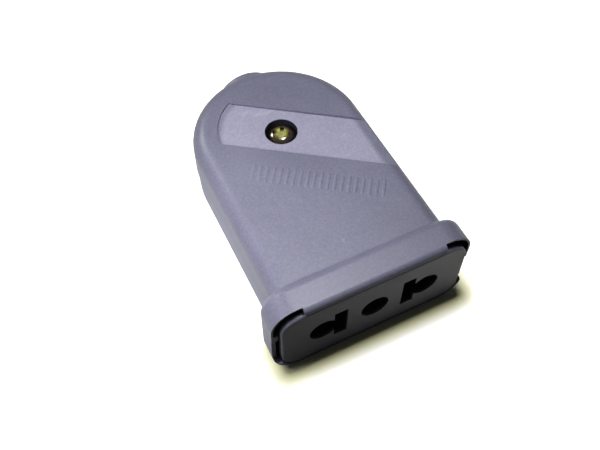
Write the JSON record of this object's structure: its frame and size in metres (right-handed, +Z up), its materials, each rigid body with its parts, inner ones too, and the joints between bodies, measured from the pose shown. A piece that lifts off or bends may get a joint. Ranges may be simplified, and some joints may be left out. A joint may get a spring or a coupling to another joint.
{
  "type": "inline socket connector",
  "caption": "Rewirable inline mains socket: half-round grip body in two shells, collared mating face for round or flat pins, closed by one screw.",
  "frame": {"origin": "centre of the earth hole at the mating face", "axes": "+X right seen from the mating face, +Y from the mating face to the cable end, +Z up"},
  "size_m": [0.0366, 0.0531, 0.0178],
  "materials": {
    "upper_plastic": "fine matte moulding",
    "lower_plastic": "fine matte moulding",
    "face_plastic": "fine matte moulding",
    "clamp_plastic": "plain moulding",
    "contact_brass": "stamped strip",
    "spring_steel": "bare spring steel",
    "plated_steel": "zinc plated",
    "yellow_zinc": "yellow zinc plated"
  },
  "bodies": {
    "root": {"upper_shell": "upper_plastic", "lower_shell": "lower_plastic", "socket_face": "face_plastic", "closing_screw": "yellow_zinc", "closing_nut": "yellow_zinc", "line_contact_right": "contact_brass", "line_contact_left": "contact_brass", "earth_contact": "contact_brass", "spring_clip_right": "spring_steel", "spring_clip_left": "spring_steel", "spring_clip_earth": "spring_steel", "terminal_clamp_right": "plated_steel", "terminal_clamp_left": "plated_steel", "terminal_clamp_earth": "plated_steel", "terminal_screw_right": "plated_steel", "terminal_screw_left": "plated_steel", "terminal_screw_earth": "plated_steel", "cord_clamp": "clamp_plastic", "clamp_screw_right": "plated_steel", "clamp_screw_left": "plated_steel"}
  },
  "joints": []
}
